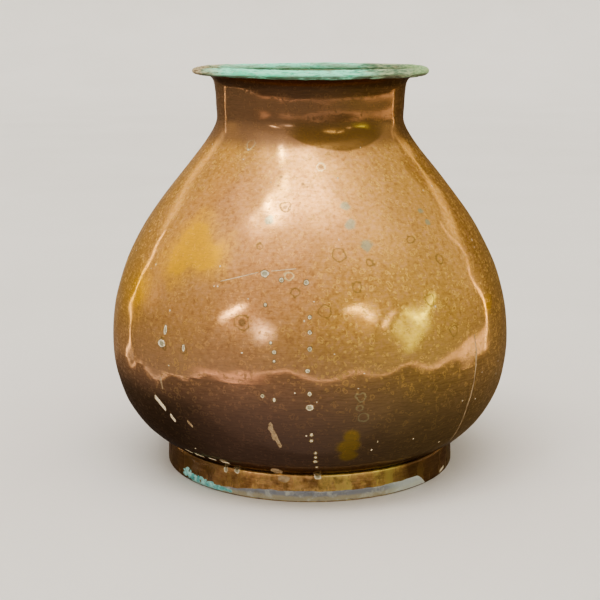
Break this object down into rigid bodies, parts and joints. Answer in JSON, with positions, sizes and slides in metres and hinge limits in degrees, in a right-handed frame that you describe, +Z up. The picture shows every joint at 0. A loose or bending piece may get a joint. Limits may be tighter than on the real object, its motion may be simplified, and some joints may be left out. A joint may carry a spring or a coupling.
{
  "type": "copper water jug",
  "caption": "Beaten copper water jug with a wide low belly, a short neck, a flared rolled lip and a low foot ring; holds and pours water.",
  "frame": {"origin": "centre of the foot ring's resting plane", "axes": "+Z up along the jug's axis; the jug is round, and -Y is the side first looked at"},
  "size_m": [0.2516, 0.2516, 0.25],
  "materials": {
    "copper": "old copper, hand planished and polished, brown patina with ochre patches",
    "foot_copper": "dull brown copper with olive stains",
    "wire": "drawn brass wire",
    "braze": "rough brass braze",
    "solder": "dull grey tin solder",
    "verdigris": "dry crusty mineral and copper-salt deposit"
  },
  "bodies": {
    "root": {"bowl": "copper", "shoulder": "copper", "neck": "copper", "rim_wire": "wire", "foot_ring": "foot_copper", "belly_braze": "braze", "neck_braze": "braze", "foot_solder": "solder"}
  },
  "joints": []
}
